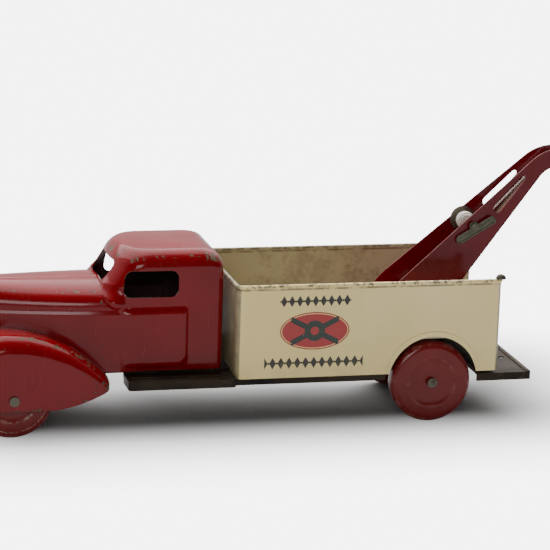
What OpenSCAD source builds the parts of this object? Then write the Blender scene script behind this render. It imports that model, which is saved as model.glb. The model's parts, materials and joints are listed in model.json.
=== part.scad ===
// Toy tow truck in pressed steel.
// The front of the truck points along -X, its left (driver's) side along -Y, and +Z is up.
// The origin is on the ground, midway along, across and under the truck.

/* [Overall] */
// Length from the front bumper to the end of the boom
overall_l = 361; // [350:1:380]
// Distance between the front and rear axles
wheelbase = 227; // [222:1:230]
// Thickness of the pressed steel sheet
sheet = 0.8; // [0.6:0.1:1.0]

/* [Wheels] */
// Diameter of each wheel
wheel_d = 44.5; // [42:0.5:45]
// Width of each wheel across its tread
wheel_w = 10.8; // [9:0.2:11]
// Diameter of both axles
axle_d = 3.2; // [3:0.1:3.6]
// Radial running clearance of every turning shaft
run_gap = 0.05; // [0.03:0.01:0.08]

/* [Cab and hood] */
// Width of the cab across its doors
cab_w = 60; // [58:1:62]
// Height of the roof's crown above the ground
roof_z = 95; // [93:0.5:97]
// Height of the cab's lower edge
sill_z = 31.5; // [31:0.5:34]
// Height of the hood's top at the cab
hood_z = 76; // [75:0.5:78]

/* [Bed] */
// Length of the open bed
bed_l = 146; // [140:1:146]
// Width of the open bed
bed_w = 88; // [86:1:90]
// Height of the bed's lower edge
bed_low_z = 28.7; // [28:0.1:29]
// Height of the top of the bed's rolled rim
bed_top_z = 79.6; // [77:0.1:81]
// Height of the top of the bed's floor
floor_z = 48.3; // [47:0.1:50]
// Height of the low rear wall
tail_z = 71.3; // [68:0.1:73]
// Diameter of the rolled rim
rim_d = 2.2; // [1.8:0.1:2.6]
// Radius of the wheel arches
arch_r = 24.8; // [24:0.1:26]

/* [Boom] */
// Distance between the boom plates' outer faces at the bed's rim
boom_w = 28; // [26:1:30]
// Angle by which each plate leans in toward the tip
boom_taper = 3.9; // [3.5:0.1:4.2]
// Outer radius of the gooseneck
neck_r = 25.2; // [24:0.1:26]
// Depth of the gooseneck, from its outer to its inner edge
neck_depth = 9.6; // [9:0.1:10]

/* [Winch] */
// Diameter of the winch's axle
winch_d = 2.4; // [2.2:0.1:2.8]
// Diameter of the disc that keeps the string in place
disc_d = 14; // [12:0.5:15]
// Diameter of the wound string at its crown
winding_d = 9.6; // [9:0.1:10]
// Length of the turning key
key_l = 25; // [22:1:26]
// Width of the turning key
key_w = 4.8; // [4:0.2:5.4]
// Angle of the key above the horizontal at rest
key_angle = 30.5; // [0:0.5:90]
// Distance of the key's middle line from the winch's axle
key_drop = 2.4; // [2.2:0.1:2.8]
// Diameter of the string
string_d = 1.2; // [1:0.1:1.4]
// Height of the hook's eye when the string is let out
hook_z = 84; // [80:1:90]

/* [Hidden] */
$fn = 48;
hull_fn = 32;
eps = 0.01;

// Lengthwise stations, from the middle of the truck
front_x = -overall_l / 2;
tip_end_x = overall_l / 2;
rear_axle_x = 84;
front_axle_x = rear_axle_x - wheelbase;
bed_front_x = -25.5;
bed_rear_x = bed_front_x + bed_l;
cab_rear_x = -30.5;
cowl_x = -96;
nose_x = -174;
board_front_x = -83;
tongue_front_x = -162;
step_front_x = 109;
step_rear_x = 139.5;
left = -1;
right = 1;

// Wheels and axles
wheel_r = wheel_d / 2;
axle_r = axle_d / 2;
wheel_bore_r = axle_r + run_gap;
wheel_out = 40.8;
head_r = 2.6;
head_t = 1.2;
head_gap = 0.4;
collar_r = 3.4;
collar_gap = 0.3;

// Frame
frame_z = bed_low_z;
frame_low_z = 25.4;
frame_half = 43.5;
waist_half = 27.5;
flange_low_z = 17;
board_half = 47;
board_z = 30;
step_z = 26.7;
step_low_z = 22.5;
hitch_spread = 24;
hitch_d = 3.2;

// Front fenders: each station is [x, crest height, crest radius, skirt height, skirt radius]
fender_stations = [
    [-145.5, 20, 22.5, 20, 20],
    [-146, 33, 22.5, 26, 20],
    [-121, 32, 18, 26, 14.5],
    [-99, 28.5, 6, 26, 4.5]
];
skirt_half = 47;
shoulder_half = 37;
fender_in_half = 22;
fender_low_z = 16.5;

// Boom side view, all in one plane
boom_base = [71.8, 72.3];
boom_angle = 43;
neck_c = [163.4, 117.8];
neck_start_a = 130.7;
tip_r = 5;
tip_c = [tip_end_x - tip_r, 134.8];
foot_front_x = 60;
foot_rear_x = 95;
winch_c = [113, 101.5];
guide_c = [159.5, 138.2];
guide_r = 1.2;
tip_pin_c = [172.4, 135.6];
tip_pin_r = 1.6;
pin_gap = 0.25;

// Half of the boom's outer width at a place on its side view
function boom_half(p) = boom_w / 2 - tan(boom_taper)
    * ((p[0] - boom_base[0]) * cos(boom_angle) + (p[1] - boom_base[1]) * sin(boom_angle));

// ---------- shapes that repeat ----------

// Rounded rectangle centred on the origin
module rounded_rect(l, w, r) {
    square([l - 2 * r, w], center = true);
    square([l, w - 2 * r], center = true);
    for (sx = [-1, 1], sy = [-1, 1])
        translate([sx * (l / 2 - r), sy * (w / 2 - r)]) circle(r);
}

// Slot whose ends have their own radii
module tapered_slot(p1, r1, p2, r2) {
    d = p2 - p1;
    n = [-d[1], d[0]] / norm(d);
    translate(p1) circle(r1);
    translate(p2) circle(r2);
    polygon([p1 + n * r1, p2 + n * r2, p2 - n * r2, p1 - n * r1]);
}

// Flat shape drawn in X and Z, given thickness along Y and centred on y
module side_plate(y, t) {
    translate([0, y, 0]) rotate([90, 0, 0]) linear_extrude(t, center = true) children();
}

// Round bar across the truck, from y1 to y2
module cross_bar(p, r, y1, y2) {
    translate([p[0], y1, p[1]]) rotate([-90, 0, 0]) cylinder(r = r, h = y2 - y1);
}

// Box given by its two corners
module span(a, b) {
    translate(a) cube(b - a);
}

// ---------- cab and hood ----------

cab_half = cab_w / 2;
roof_r = 8;
roof_side_z = roof_z - roof_r - 0.5;
cab_corner_x = -79;
cab_corner_r = 11;
brow_r = 7;

// Cab from its sills to its crowned roof, grown or shrunk by g
module cab_form(g) {
    hull() {
        span([cab_corner_x, -cab_half - g, sill_z], [cab_rear_x + g, cab_half + g, roof_side_z]);
        for (s = [left, right]) {
            translate([cab_corner_x, s * (cab_half - cab_corner_r), sill_z])
                cylinder(r = cab_corner_r + g, h = 43, $fn = hull_fn);
            for (x = [cab_corner_x + 7, cab_rear_x - roof_r])
                translate([x, s * (cab_half - roof_r), roof_side_z]) sphere(r = roof_r + g, $fn = hull_fn);
        }
        // rounded brow over the windscreen, and the cowl below it
        cross_bar([cab_corner_x - 1, roof_z - brow_r], brow_r + g, -15, 15);
        span([cowl_x + 2.5 - g, -12, sill_z], [cab_corner_x, 12, 76]);
        span([cab_corner_x, -14, roof_z - 2], [cab_rear_x - roof_r, 14, roof_z + g]);
    }
}

// Hood from the cowl to the nose
module hood_form(g) {
    hull() {
        for (s = [left, right]) {
            translate([cowl_x, s * 19, hood_z - 9]) rotate([0, 90, 0])
                cylinder(r = 9 + g, h = 6, $fn = hull_fn);
            translate([-160, s * 12, hood_z - 10]) sphere(r = 9 + g, $fn = hull_fn);
            translate([-165, s * 8, 44]) cylinder(r = 8 + g, h = 12, $fn = hull_fn);
        }
        span([cowl_x, -29 - g, sill_z], [cowl_x + 6, 29 + g, hood_z - 12]);
        span([-162 - g, -16 - g, sill_z], [-150, 16 + g, 50]);
    }
}

window_l = 30;
window_h = 14;
window_c = [-69.3, 78.4];
screen_h = 11;
screen_w = 35;
screen_z = 82.9;
back_window_w = 34;
back_window_h = 12;

module cab_body() {
    color([0.50, 0.05, 0.07])
    difference() {
        union() {
            cab_form(0);
            hood_form(0);
        }
        cab_form(-sheet);
        hood_form(-sheet);
        // side windows
        side_plate(0, cab_w + 4) translate(window_c) rounded_rect(window_l, window_h, 4);
        // windscreen and back window
        translate([-98, 0, screen_z]) rotate([90, 0, 90])
            linear_extrude(16) rounded_rect(screen_w, screen_h, 4);
        translate([cab_rear_x - 4, 0, 80]) rotate([90, 0, 90])
            linear_extrude(8) rounded_rect(back_window_w, back_window_h, 4);
        // grille opening
        translate([nose_x - 2, 0, 50]) rotate([90, 0, 90])
            linear_extrude(10) rounded_rect(15, 12, 4);
        // underside, open to the frame
        span([-160, -14, sill_z - 1], [cab_corner_x + 2, 14, sill_z + sheet + 1]);
        span([cab_corner_x, -cab_half + sheet, sill_z - 1],
             [cab_rear_x - sheet, cab_half - sheet, sill_z + sheet + 1]);
    }
}

// ---------- front fenders ----------

module fender_form(s, g) {
    hull() for (f = fender_stations) {
        translate([f[0], s * fender_in_half, f[1]]) rotate([-90 * s, 0, 0])
            cylinder(r = f[2] + g, h = shoulder_half - fender_in_half, $fn = hull_fn);
        translate([f[0], s * (skirt_half - 1), f[3]]) rotate([-90 * s, 0, 0])
            cylinder(r = f[4] + g, h = 1 + g, $fn = hull_fn);
    }
}

module front_fender(s) {
    color([0.52, 0.06, 0.08])
    difference() {
        fender_form(s, 0);
        fender_form(s, -sheet);
        // opened below the skirt and on the side toward the hood
        side_plate(0, 120) polygon([[-180, -5], [-80, -5], [-80, fender_low_z + 12],
            [-121, fender_low_z], [-180, fender_low_z]]);
        translate([-180, s * 10 - 15.4, 0]) cube([100, 30.8, 34]);
        hood_form(0.2);
        cab_form(0.2);
        // clear of the frame's tongue and deck
        span([-172, -waist_half - 1.2, 0], [-80, waist_half + 1.2, sill_z + 0.2]);
        span([cowl_x - 0.2, -cab_half - 0.2, 0], [-70, cab_half + 0.2, sill_z + 0.2]);
        span([board_front_x - 0.2, -60, 0], [-70, 60, board_z + 0.8]);
        cross_bar([front_axle_x, wheel_r], axle_r + run_gap, -60, 60);
    }
}

// ---------- grille and bumper ----------

grille_w = 26;
grille_h = 34;
grille_z = 51;
grille_bars = 6;

module grille() {
    color([0.72, 0.70, 0.66])
    translate([nose_x - 1.2, 0, grille_z]) rotate([90, 0, 90])
    linear_extrude(1.2) difference() {
        rounded_rect(grille_w, grille_h, 8);
        for (i = [0 : grille_bars - 1])
            translate([(i - (grille_bars - 1) / 2) * 3.6, 0])
                square([1.6, grille_h - 10], center = true);
    }
}

bumper_half = 43;
bumper_z = 20.5;
bumper_h = 7;

module front_bumper() {
    color([0.70, 0.68, 0.64])
    union() {
        translate([front_x, 0, bumper_z]) rotate([90, 0, 90])
            linear_extrude(1.8) rounded_rect(2 * bumper_half, bumper_h, 3);
        for (s = [left, right])
            span([front_x + 1.8 - eps, s * (waist_half + 0.5) - 0.5, bumper_z - 2],
                 [-155, s * (waist_half + 0.5) + 0.5, bumper_z + 2]);
    }
}

// ---------- frame ----------

module running_boards() {
    pocket_w = board_half - cab_half - 2 * sheet;
    for (s = [left, right]) {
        difference() {
            translate([0, s * (board_half + cab_half - sheet) / 2, 0])
                linear_extrude(board_z)
                translate([(board_front_x + bed_front_x) / 2, 0])
                rounded_rect(bed_front_x - board_front_x, board_half - cab_half + sheet, 2);
            span([-200, -60, -1], [200, 60, frame_low_z]);
            translate([board_front_x + sheet, s * (board_half + cab_half) / 2 - pocket_w / 2, 0])
                cube([bed_front_x - board_front_x - 2 * sheet, pocket_w, board_z - sheet]);
        }
        for (y = [39, 45])
            translate([board_front_x + 3, s * y, board_z]) rotate([0, 90, 0])
                cylinder(r = 0.6, h = bed_front_x - board_front_x - 6);
    }
}

module chassis_frame() {
    color([0.10, 0.09, 0.08])
    difference() {
        union() {
            running_boards();
            // deck under the cab and its risers
            span([cowl_x, -cab_half, sill_z - sheet], [bed_front_x, cab_half, sill_z]);
            for (s = [left, right])
                span([cowl_x + 13, s * (cab_half - sheet / 2) - sheet / 2, board_z - 2],
                     [bed_front_x, s * (cab_half - sheet / 2) + sheet / 2, sill_z]);
            span([bed_front_x - sheet, -cab_half, frame_low_z], [bed_front_x, cab_half, sill_z]);
            // tongue under the hood, with ears for the front axle
            span([tongue_front_x, -waist_half, sill_z - sheet], [cowl_x + eps, waist_half, sill_z]);
            for (s = [left, right])
                span([tongue_front_x, s * (waist_half - sheet / 2) - sheet / 2, flange_low_z],
                     [front_axle_x + 12, s * (waist_half - sheet / 2) + sheet / 2, sill_z]);
            // pan under the bed
            span([bed_front_x - sheet, -frame_half, frame_z - sheet],
                 [rear_axle_x - 27, frame_half, frame_z]);
            span([rear_axle_x - 28, -waist_half, frame_z - sheet],
                 [step_front_x + sheet, waist_half, frame_z]);
            for (s = [left, right]) {
                span([bed_front_x - sheet, s * (frame_half - sheet / 2) - sheet / 2, frame_low_z],
                     [rear_axle_x - 27, s * (frame_half - sheet / 2) + sheet / 2, frame_z]);
                span([rear_axle_x - 13, s * (waist_half - sheet / 2) - sheet / 2, flange_low_z],
                     [rear_axle_x + 13, s * (waist_half - sheet / 2) + sheet / 2, frame_z]);
            }
            // rear step with its raised margins and turned-down edge
            span([step_front_x, -42, step_z - sheet], [step_front_x + sheet, 42, frame_z]);
            difference() {
                span([step_front_x, -42, step_low_z], [step_rear_x, 42, step_z]);
                span([step_front_x - 1, -42 + sheet, step_low_z - 1],
                     [step_rear_x - sheet, 42 - sheet, step_z - sheet]);
            }
            span([step_rear_x - 2.4, -42, step_z - eps], [step_rear_x, 42, step_z + 0.5]);
        }
        cross_bar([front_axle_x, wheel_r], axle_r + run_gap, -60, 60);
        cross_bar([rear_axle_x, wheel_r], axle_r + run_gap, -60, 60);
        // pair of hitch holes in the rear step
        for (s = [left, right])
            translate([133, s * hitch_spread / 2, step_low_z]) cylinder(d = hitch_d, h = 10);
    }
}

module frame_tabs() {
    color([0.16, 0.14, 0.13])
    for (x = [-12, 20, 50], s = [left, right])
        span([x - 3, s * 36 - 2.5, frame_z - 2 * sheet], [x + 3, s * 36 + 2.5, frame_z - sheet]);
}

// ---------- bed ----------

bed_c = (bed_front_x + bed_rear_x) / 2;
bed_r = 4;
rim_r = rim_d / 2;
rim_z = bed_top_z - rim_r;
rim_half = bed_w / 2 - sheet / 2;
notch_half = 13.6;

module bed_rim() {
    x1 = bed_front_x + sheet / 2;
    x2 = bed_rear_x - 1.5;
    for (s = [left, right]) {
        translate([x1 + bed_r, s * rim_half, rim_z]) rotate([0, 90, 0])
            cylinder(r = rim_r, h = x2 - x1 - bed_r);
        translate([x2, s * rim_half, rim_z]) sphere(r = rim_r);
        translate([x1 + bed_r, s * (rim_half - bed_r), rim_z])
            rotate([0, 0, s == right ? 90 : 180]) rotate_extrude(angle = 90)
            translate([bed_r, 0]) circle(rim_r);
    }
    cross_bar([x1, rim_z], rim_r, -(rim_half - bed_r), rim_half - bed_r);
}

module bed_shell() {
    color([0.74, 0.68, 0.52])
    difference() {
        union() {
            difference() {
                translate([bed_c, 0, bed_low_z]) linear_extrude(rim_z - bed_low_z)
                    rounded_rect(bed_l, bed_w, bed_r);
                translate([bed_c, 0, bed_low_z - 1]) linear_extrude(rim_z - bed_low_z + 2)
                    rounded_rect(bed_l - 2 * sheet, bed_w - 2 * sheet, bed_r - sheet);
            }
            bed_rim();
        }
        // low rear wall with a notch for the boom, and its own lower edge above the step
        span([bed_rear_x - sheet - 1, -bed_w / 2 + bed_r, tail_z],
             [bed_rear_x + 1, bed_w / 2 - bed_r, bed_top_z + 1]);
        span([bed_rear_x - sheet - 1, -notch_half, floor_z],
             [bed_rear_x + 1, notch_half, bed_top_z + 1]);
        // wheel arches
        cross_bar([rear_axle_x - 0.6, wheel_r + 1.6], arch_r, -60, 60);
    }
}

module bed_floor() {
    color([0.66, 0.60, 0.46])
    translate([bed_c, 0, floor_z - sheet]) linear_extrude(sheet)
        rounded_rect(bed_l - 2 * sheet, bed_w - 2 * sheet, bed_r - sheet);
}

knob_r = 2.7;

module corner_knobs() {
    color([0.42, 0.42, 0.36])
    for (s = [left, right])
        translate([bed_rear_x - 1.2, s * (rim_half - 0.3), bed_top_z])
        intersection() {
            translate([0, 0, -0.4]) sphere(r = knob_r + 0.2);
            translate([-5, -5, 0]) cube([10, 10, 5]);
        }
}

// ---------- boom ----------

// Side view of one boom plate, from its foot on the bed's floor to the end of the gooseneck
module boom_profile() {
    top_start = neck_c + neck_r * [cos(neck_start_a), sin(neck_start_a)];
    low_start = neck_c + (neck_r - neck_depth) * [cos(neck_start_a + 5), sin(neck_start_a + 5)];
    neck_end_a = atan2(tip_c[1] - neck_c[1], tip_c[0] - neck_c[0]);
    difference() {
        union() {
            polygon([
                [foot_front_x, floor_z], [foot_front_x, 57], [foot_front_x + 2.2, 61.6],
                boom_base, top_start, neck_c + (neck_r - 1) * [cos(125), sin(125)], low_start,
                [107.7, 71.3], [foot_rear_x + 1, 56], [foot_rear_x, floor_z]
            ]);
            intersection() {
                translate(neck_c) difference() {
                    circle(neck_r, $fn = 96);
                    circle(neck_r - neck_depth);
                }
                polygon([neck_c,
                    neck_c + 60 * [cos(neck_start_a + 5), sin(neck_start_a + 5)],
                    neck_c + 60 * [cos(92), sin(92)],
                    neck_c + 60 * [cos(neck_end_a), sin(neck_end_a)]]);
            }
            translate(tip_c) circle(tip_r);
        }
        tapered_slot([127.3, 111], 2.6, [141.6, 127], 1.5);
    }
}

module boom_plate(s) {
    color([0.42, 0.03, 0.05])
    difference() {
        union() {
            translate([boom_base[0], s * (boom_w - sheet) / 2, boom_base[1]])
                rotate(a = -s * boom_taper, v = [-sin(boom_angle), 0, cos(boom_angle)])
                translate([-boom_base[0], 0, -boom_base[1]])
                side_plate(0, sheet) boom_profile();
            // foot flange, bent out flat on the bed's floor
            span([foot_front_x + 3, s * 17.5 - 3.5, floor_z], [foot_rear_x - 3, s * 17.5 + 3.5, floor_z + sheet]);
        }
        cross_bar(winch_c, winch_d / 2 + run_gap, -60, 60);
        cross_bar(guide_c, guide_r + run_gap, -60, 60);
        cross_bar(tip_pin_c, tip_pin_r + run_gap, -60, 60);
        // trimmed level with the floor
        span([40, -40, floor_z - 10], [140, 40, floor_z]);
    }
}

web_low = [99.5, 60];
web_high = [149, 123.6];

module boom_web() {
    d = web_high - web_low;
    low_half = boom_half(web_low) - sheet - 0.2;
    high_half = boom_half(web_high) - sheet - 0.2;
    color([0.34, 0.20, 0.16])
    translate([web_low[0] - 1.2, 0, web_low[1] + 1]) rotate([0, -atan2(d[1], d[0]), 0])
        linear_extrude(sheet)
        polygon([[0, -low_half], [norm(d), -high_half], [norm(d), high_half], [0, low_half]]);
}

// Riveted pin through both boom plates
module boom_pin(c, r, extra) {
    reach = boom_half(c) + pin_gap;
    cross_bar(c, r, -reach - 0.9, reach + 0.9);
    for (s = [left, right])
        side_plate(s * (reach + 0.45), 0.9) translate(c) circle(r + extra);
}

module guide_pin() {
    color([0.40, 0.38, 0.34]) boom_pin(guide_c, guide_r, 0.8);
}

module tip_pin() {
    color([0.40, 0.38, 0.34]) boom_pin(tip_pin_c, tip_pin_r, 0.9);
}

// ---------- winch ----------

key_y = -(boom_half(winch_c) + 2.0);
key_t = 1.4;
key_lobe_r = 2.5;
disc_y = 8.3;

module winch_axle() {
    color([0.45, 0.44, 0.40])
    union() {
        cross_bar(winch_c, winch_d / 2, key_y - key_t / 2 - 0.8, boom_half(winch_c) + 1.6);
        cross_bar(winch_c, winch_d / 2 + 0.6, boom_half(winch_c) + 0.8, boom_half(winch_c) + 1.6);
        cross_bar(winch_c, winch_d / 2 + 0.4, key_y - key_t / 2 - 0.8, key_y - key_t / 2);
    }
}

module winch_key() {
    color([0.36, 0.36, 0.32])
    difference() {
        translate([winch_c[0], 0, winch_c[1]]) rotate([0, -key_angle, 0])
            side_plate(key_y, key_t) {
                translate([0, -key_drop]) rounded_rect(key_l, key_w, key_w / 2 - eps);
                circle(key_lobe_r);
                translate([0, -key_drop / 2]) square([2 * key_lobe_r, key_drop], center = true);
            }
        cross_bar(winch_c, winch_d / 2, -60, 60);
    }
}

module drum_flange() {
    color([0.30, 0.29, 0.27])
    difference() {
        cross_bar(winch_c, disc_d / 2, disc_y - 0.4, disc_y + 0.4);
        cross_bar(winch_c, winch_d / 2, -60, 60);
    }
}

module string_winding() {
    half = 5;
    color([0.80, 0.76, 0.72])
    translate([winch_c[0], disc_y - 0.4 - half, winch_c[1]]) rotate([-90, 0, 0])
    rotate_extrude() intersection() {
        translate([winding_d / 2 - 8, 0]) circle(8);
        translate([winch_d / 2, -half]) square([winding_d, 2 * half]);
    }
}

string_r = string_d / 2;
string_sides = 8;
// The string leaves the winding's underside, passes over the guide pin and hangs off the tip pin
reel_r = winding_d / 2 + 0.4;
guide_way = guide_c - winch_c;
guide_a = 90 + atan2(guide_way[1], guide_way[0])
    + asin((reel_r + guide_r + 2 * string_r) / norm(guide_way));
leave_a = guide_a - 180;
over_a = 90 + atan2(tip_pin_c[1] - guide_c[1], tip_pin_c[0] - guide_c[0])
    + asin((tip_pin_r - guide_r) / norm(tip_pin_c - guide_c));
hang_x = tip_pin_c[0] + tip_pin_r + string_r;
hang_z = tip_pin_c[1];

function around(c, r, a) = c + (r + string_r) * [cos(a), sin(a)];

string_route = concat(
    [around(winch_c, reel_r, leave_a)],
    [for (i = [0 : 4]) around(guide_c, guide_r, guide_a + (over_a - guide_a) * i / 4)],
    [for (i = [0 : 8]) around(tip_pin_c, tip_pin_r, over_a * (1 - i / 8))]
);

// Round tube of radius r along a route in the middle plane
module swept_string(route, r) {
    last = len(route) - 1;
    ways = [for (i = [0 : last]) route[min(i + 1, last)] - route[max(i - 1, 0)]];
    sides = [for (i = [0 : last]) [-ways[i][1], ways[i][0]] / norm(ways[i])];
    points = [for (i = [0 : last], k = [0 : string_sides - 1])
        let (a = 360 * k / string_sides)
        [route[i][0] + r * cos(a) * sides[i][0], r * sin(a), route[i][1] + r * cos(a) * sides[i][1]]];
    walls = [for (i = [0 : last - 1], k = [0 : string_sides - 1])
        let (n = (k + 1) % string_sides, j = i * string_sides)
        [j + k, j + k + string_sides, j + n + string_sides, j + n]];
    polyhedron(points, concat(walls,
        [[for (k = [0 : string_sides - 1]) k]],
        [[for (k = [0 : string_sides - 1]) last * string_sides + string_sides - 1 - k]]));
}

module boom_string() {
    color([0.80, 0.76, 0.72]) swept_string(string_route, string_r);
}

module tow_string() {
    color([0.80, 0.76, 0.72])
    translate([hang_x, 0, hook_z]) cylinder(r = string_r, h = hang_z - hook_z, $fn = 16);
}

hook_wire_r = 0.9;
hook_bend_r = 4.2;
hook_eye_r = 2;

module tow_hook() {
    eye_z = hook_z - hook_eye_r - hook_wire_r;
    bend_z = hook_z - 18;
    color([0.40, 0.38, 0.34])
    translate([hang_x, 0, 0]) union() {
        translate([0, 0, eye_z]) rotate([90, 0, 0])
            rotate_extrude() translate([hook_eye_r, 0]) circle(hook_wire_r);
        translate([0, 0, bend_z]) cylinder(r = hook_wire_r, h = eye_z - hook_eye_r - bend_z);
        translate([-hook_bend_r, 0, bend_z]) rotate([90, 0, 0]) rotate([0, 0, 180])
            rotate_extrude(angle = 180) translate([hook_bend_r, 0]) circle(hook_wire_r);
        translate([-2 * hook_bend_r, 0, bend_z]) cylinder(r = hook_wire_r, h = 3);
        translate([-2 * hook_bend_r, 0, bend_z + 3]) sphere(r = hook_wire_r);
    }
}

// ---------- axles, collars and wheels ----------

module axle(x, outer) {
    color([0.42, 0.40, 0.36])
    union() {
        cross_bar([x, wheel_r], axle_r, -outer, outer);
        for (s = [left, right])
            side_plate(s * (outer - head_t / 2), head_t) translate([x, wheel_r]) circle(head_r);
    }
}

module front_axle() {
    axle(front_axle_x, skirt_half + run_gap + head_t);
}

module rear_axle() {
    axle(rear_axle_x, wheel_out + head_gap + head_t);
}

// Collar from y1 to y2 on each side of an axle
module collar_pair(x, y1, y2) {
    for (s = [left, right])
        side_plate(s * (y1 + y2) / 2, y2 - y1) translate([x, wheel_r]) difference() {
            circle(collar_r);
            circle(axle_r + run_gap);
        }
}

module axle_collars() {
    color([0.35, 0.33, 0.30])
    union() {
        collar_pair(front_axle_x, waist_half, wheel_out - wheel_w - collar_gap);
        collar_pair(front_axle_x, wheel_out + collar_gap, skirt_half - sheet - run_gap);
        collar_pair(rear_axle_x, waist_half, wheel_out - wheel_w - collar_gap);
    }
}

edge_r = 3.2;
ring_r = 0.62 * wheel_r;

// Turned wheel with rounded edges and a raised ring round its hub
module wheel(x, s, out) {
    color([0.40, 0.10, 0.10])
    translate([x, s * (out - wheel_w / 2), wheel_r]) rotate([90, 0, 0])
    rotate_extrude() difference() {
        union() {
            translate([wheel_bore_r, -wheel_w / 2 + 0.4])
                square([wheel_r - wheel_bore_r - edge_r, wheel_w - 0.8]);
            translate([wheel_bore_r, -wheel_w / 2 + edge_r + 0.4])
                square([wheel_r - wheel_bore_r, wheel_w - 2 * edge_r - 0.8]);
            for (t = [-1, 1]) {
                translate([wheel_r - edge_r, t * (wheel_w / 2 - 0.4 - edge_r)]) circle(edge_r);
                translate([wheel_bore_r, t > 0 ? wheel_w / 2 - 0.6 : -wheel_w / 2])
                    square([ring_r - wheel_bore_r - 1, 0.6]);
                translate([ring_r - 1, t * (wheel_w / 2 - 0.6)]) circle(0.6);
            }
        }
        translate([-50, -50]) square([50 + wheel_bore_r, 100]);
    }
}

cab_body();
front_fender(left);  // front_fender_left
front_fender(right);  // front_fender_right
grille();
front_bumper();
chassis_frame();
frame_tabs();
bed_shell();
bed_floor();
corner_knobs();
boom_plate(left);  // boom_plate_left
boom_plate(right);  // boom_plate_right
boom_web();
guide_pin();
tip_pin();
winch_axle();
winch_key();
drum_flange();
string_winding();
boom_string();
tow_string();
tow_hook();
front_axle();
rear_axle();
axle_collars();
wheel(front_axle_x, left, wheel_out);  // wheel_front_left
wheel(front_axle_x, right, wheel_out);  // wheel_front_right
wheel(rear_axle_x, left, wheel_out);  // wheel_rear_left
wheel(rear_axle_x, right, wheel_out);  // wheel_rear_right
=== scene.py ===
# %% [markdown]
# A pressed-steel toy tow truck, rebuilt round its CAD frame. Everything below is in metres in the
# frame's own axes: the front points along -X, the left side along -Y, and Z is up. Sizes are written
# in millimetres and scaled when a mesh is made.
# %% Frame
import json
import math
import bmesh
import bpy
import numpy as np
from mathutils import Matrix, Vector


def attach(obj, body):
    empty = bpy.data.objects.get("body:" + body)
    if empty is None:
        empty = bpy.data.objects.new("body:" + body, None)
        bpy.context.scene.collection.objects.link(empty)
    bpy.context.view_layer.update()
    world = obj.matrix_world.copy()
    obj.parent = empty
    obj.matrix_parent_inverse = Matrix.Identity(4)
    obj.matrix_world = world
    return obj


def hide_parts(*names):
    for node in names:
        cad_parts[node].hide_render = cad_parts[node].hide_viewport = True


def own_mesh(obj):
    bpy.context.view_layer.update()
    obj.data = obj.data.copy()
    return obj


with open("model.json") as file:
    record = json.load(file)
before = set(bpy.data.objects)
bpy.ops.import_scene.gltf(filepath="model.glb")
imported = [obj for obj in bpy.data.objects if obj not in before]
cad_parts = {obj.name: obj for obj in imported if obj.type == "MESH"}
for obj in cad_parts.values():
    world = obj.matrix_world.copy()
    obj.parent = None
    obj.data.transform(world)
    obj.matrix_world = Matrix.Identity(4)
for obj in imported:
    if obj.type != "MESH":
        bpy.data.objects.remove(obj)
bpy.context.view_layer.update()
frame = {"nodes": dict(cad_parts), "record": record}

scene = bpy.context.scene
MM, SHEET = 0.001, 0.8
print("frame loaded:", len(frame["nodes"]), "nodes")

# %% [markdown]
# The camera stands to the left and a little ahead of the truck, looks down on it slightly, and has a
# long lens. A slight roll gives the bed's rim its tilt.
# %% Camera
azimuth, elevation, roll = (math.radians(v) for v in (14.2, 13.7, 1.9))
back = Vector((-math.sin(azimuth) * math.cos(elevation), -math.cos(azimuth) * math.cos(elevation),
               math.sin(elevation)))
right = (-back).cross(Vector((0, 0, 1))).normalized()
up = right.cross(-back)
camera_data = bpy.data.cameras.new("camera")
camera = bpy.data.objects.new("camera", camera_data)
scene.collection.objects.link(camera)
pose = Matrix((right * math.cos(roll) + up * math.sin(roll),
                 up * math.cos(roll) - right * math.sin(roll), back)).transposed().to_4x4()
pose.translation = (-0.3194, -1.2828, 0.3966)
camera.matrix_world = pose
camera_data.lens, camera_data.sensor_width = 164.35, 36
scene.camera = camera
print("camera at", tuple(round(v, 3) for v in pose.translation))

# %% [markdown]
# Shape helpers. Sheet parts are drawn as a grid of points, given the sheet's thickness, cut, and
# then frozen to a plain mesh, so that edges can be marked sharp or soft by angle.
# %% Mesh helpers
def make_mesh(name, points, faces, angle=35):
    """A mesh object from points in millimetres."""
    mesh = bpy.data.meshes.new(name)
    mesh.from_pydata([tuple(c * MM for c in p) for p in points], [], faces)
    mesh.validate()
    mesh.update()
    piece = bpy.data.objects.new(name, mesh)
    scene.collection.objects.link(piece)
    soften(piece, angle)
    return piece


def soften(piece, angle=35):
    """Smooth shading that breaks at edges sharper than angle."""
    piece.data.polygons.foreach_set("use_smooth", [True] * len(piece.data.polygons))
    piece.data.set_sharp_from_angle(angle=math.radians(angle))


def grid_faces(rows, columns, closed=False):
    """Quads between rows of points; closed joins each row's end to its start."""
    faces = []
    for i in range(rows - 1):
        for k in range(columns if closed else columns - 1):
            n = (k + 1) % columns
            faces.append((i * columns + k, i * columns + n, (i + 1) * columns + n, (i + 1) * columns + k))
    return faces


def freeze(piece):
    """Replaces a piece's mesh with what its modifiers make of it."""
    graph = bpy.context.evaluated_depsgraph_get()
    mesh = bpy.data.meshes.new_from_object(piece.evaluated_get(graph))
    piece.modifiers.clear()
    piece.data = mesh
    soften(piece)
    return piece


def thicken(piece, offset):
    """Gives a sheet its thickness, on the side where its faces point for offset 1."""
    m = piece.modifiers.new("thickness", "SOLIDIFY")
    m.thickness, m.offset, m.use_even_offset = SHEET * MM, offset, True
    m.material_offset = 1
    return freeze(piece)


def inner_finish(piece, outer, inner):
    """Two finishes for a sheet that is thickened later: its outside and its inside."""
    piece.data.materials.append(outer)
    piece.data.materials.append(inner)
    return piece


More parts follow.
